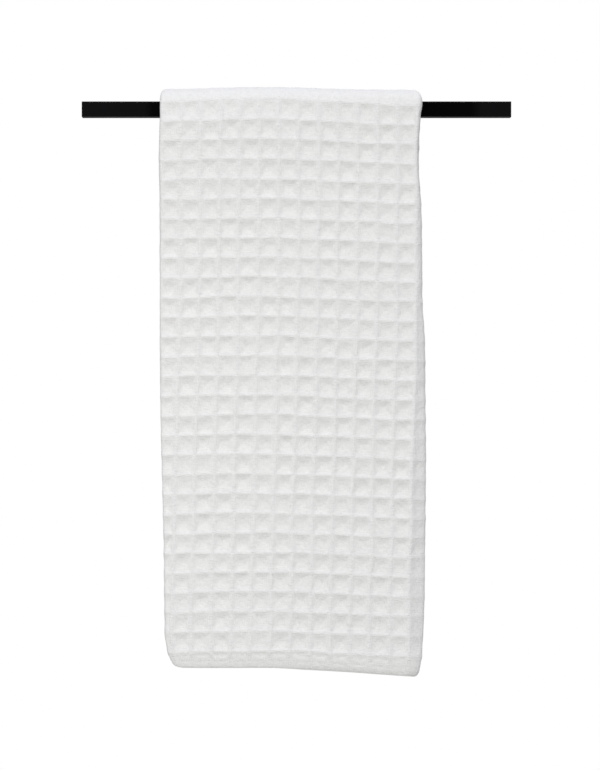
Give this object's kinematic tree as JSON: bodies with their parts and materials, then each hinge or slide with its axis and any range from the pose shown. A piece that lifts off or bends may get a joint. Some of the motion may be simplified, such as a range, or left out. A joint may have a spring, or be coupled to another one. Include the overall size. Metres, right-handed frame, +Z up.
{
  "type": "waffle hand towel on a flat towel bar",
  "caption": "White waffle-weave cotton hand towel, folded lengthwise in thirds and hung over a short flat black bar, with a longer front panel and plain hems.",
  "frame": {"origin": "the middle of the bar, on its own axis", "axes": "+X along the bar to the viewer's right, -Y towards the viewer, +Z up"},
  "size_m": [0.28, 0.04, 0.3845],
  "materials": {
    "towel_cotton": "white waffle-weave cotton with square pits, matt and slightly fuzzy",
    "bar_black": "satin black powder coat"
  },
  "bodies": {
    "root": {"towel": "towel_cotton", "bar": "bar_black"}
  },
  "joints": []
}
